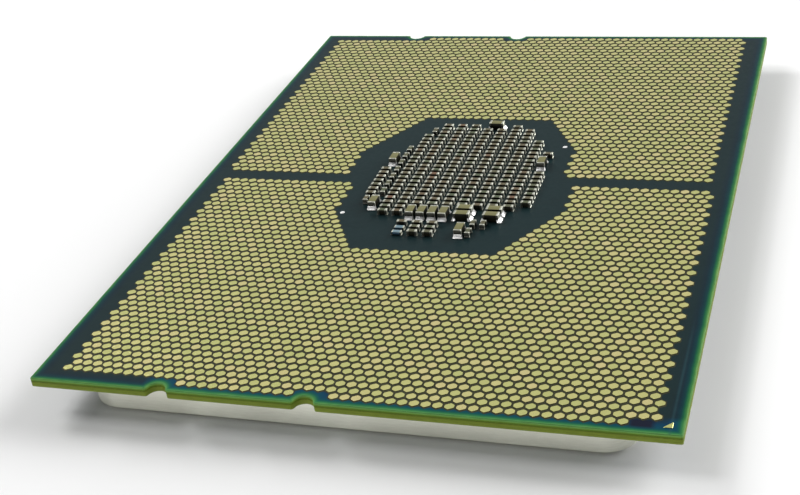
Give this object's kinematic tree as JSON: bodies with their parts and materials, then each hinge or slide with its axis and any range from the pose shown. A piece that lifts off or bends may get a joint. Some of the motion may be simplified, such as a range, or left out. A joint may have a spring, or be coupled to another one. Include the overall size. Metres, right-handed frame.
{
  "type": "land grid processor",
  "caption": "Rectangular land grid computer processor lying on its metal lid, showing gold contact lands around a recess of small capacitors, with edge notches and a corner mark.",
  "frame": {"origin": "centre of the lid's outer face, which rests on the surface below", "axes": "+X across the package's short side, +Y along its long side, +Z from the lid to the contact lands; the pin-one corner mark is at +X, -Y"},
  "size_m": [0.0564, 0.076, 0.0048],
  "materials": {
    "solder_mask": "smooth dark slate blue, a soft sheen",
    "buildup_laminate": "cut edge of green resin film and copper layers",
    "core_laminate": "cut edge of olive glass fibre laminate",
    "gold_plate": "thin pale gold plating, satin",
    "nickel_plate": "satin nickel plating over a stamped copper lid",
    "sealant": "cured black adhesive",
    "silicon": "polished silicon",
    "underfill": "cured dark epoxy",
    "solder": "soft indium solder, dull silver",
    "capacitor_ceramic": "taupe ceramic between tinned silver ends",
    "resistor_glaze": "pale blue glaze"
  },
  "bodies": {
    "root": {"array_column_01": "capacitor_ceramic", "array_column_02": "capacitor_ceramic", "array_column_03": "capacitor_ceramic", "array_column_04": "capacitor_ceramic", "array_column_05": "capacitor_ceramic", "array_column_06": "capacitor_ceramic", "array_column_07": "capacitor_ceramic", "array_column_08": "capacitor_ceramic", "array_column_09": "capacitor_ceramic", "array_column_10": "capacitor_ceramic", "array_left_column": "capacitor_ceramic", "array_lengthwise_column": "capacitor_ceramic", "blue_resistor_1": "resistor_glaze", "blue_resistor_2": "resistor_glaze", "die_side_buildup": "buildup_laminate", "die_side_capacitors_front_left": "capacitor_ceramic", "die_side_capacitors_front_right": "capacitor_ceramic", "die_side_capacitors_rear_left": "capacitor_ceramic", "die_side_capacitors_rear_right": "capacitor_ceramic", "die_side_solder_mask": "solder_mask", "die_underfill": "underfill", "front_land_field": "gold_plate", "heat_spreader": "nickel_plate", "land_side_buildup": "buildup_laminate", "land_side_solder_mask": "solder_mask", "large_capacitor_left_pair_lower": "capacitor_ceramic", "large_capacitor_left_pair_upper": "capacitor_ceramic", "large_capacitor_lower_left": "capacitor_ceramic", "large_capacitor_lower_middle": "capacitor_ceramic", "large_capacitor_right_pair_lower": "capacitor_ceramic", "large_capacitor_right_pair_upper": "capacitor_ceramic", "large_capacitor_row_1": "capacitor_ceramic", "large_capacitor_row_2": "capacitor_ceramic", "large_capacitor_row_3": "capacitor_ceramic", "large_capacitor_row_4": "capacitor_ceramic", "large_capacitor_top": "capacitor_ceramic", "large_capacitor_upper_left": "capacitor_ceramic", "large_capacitor_upper_right": "capacitor_ceramic", "left_fiducial": "gold_plate", "lid_sealant": "sealant", "lower_block_left_capacitor": "capacitor_ceramic", "lower_block_middle_column": "capacitor_ceramic", "lower_block_right_column": "capacitor_ceramic", "lower_left_small_capacitor": "capacitor_ceramic", "lower_right_small_capacitor_1": "capacitor_ceramic", "lower_right_small_capacitor_2": "capacitor_ceramic", "lower_right_small_capacitor_3": "capacitor_ceramic", "pin_one_marker": "gold_plate", "rear_land_field": "gold_plate", "right_fiducial": "gold_plate", "silicon_die": "silicon", "substrate_core": "core_laminate", "thermal_solder": "solder", "upper_left_small_capacitor": "capacitor_ceramic", "upper_right_small_capacitor": "capacitor_ceramic"}
  },
  "joints": []
}
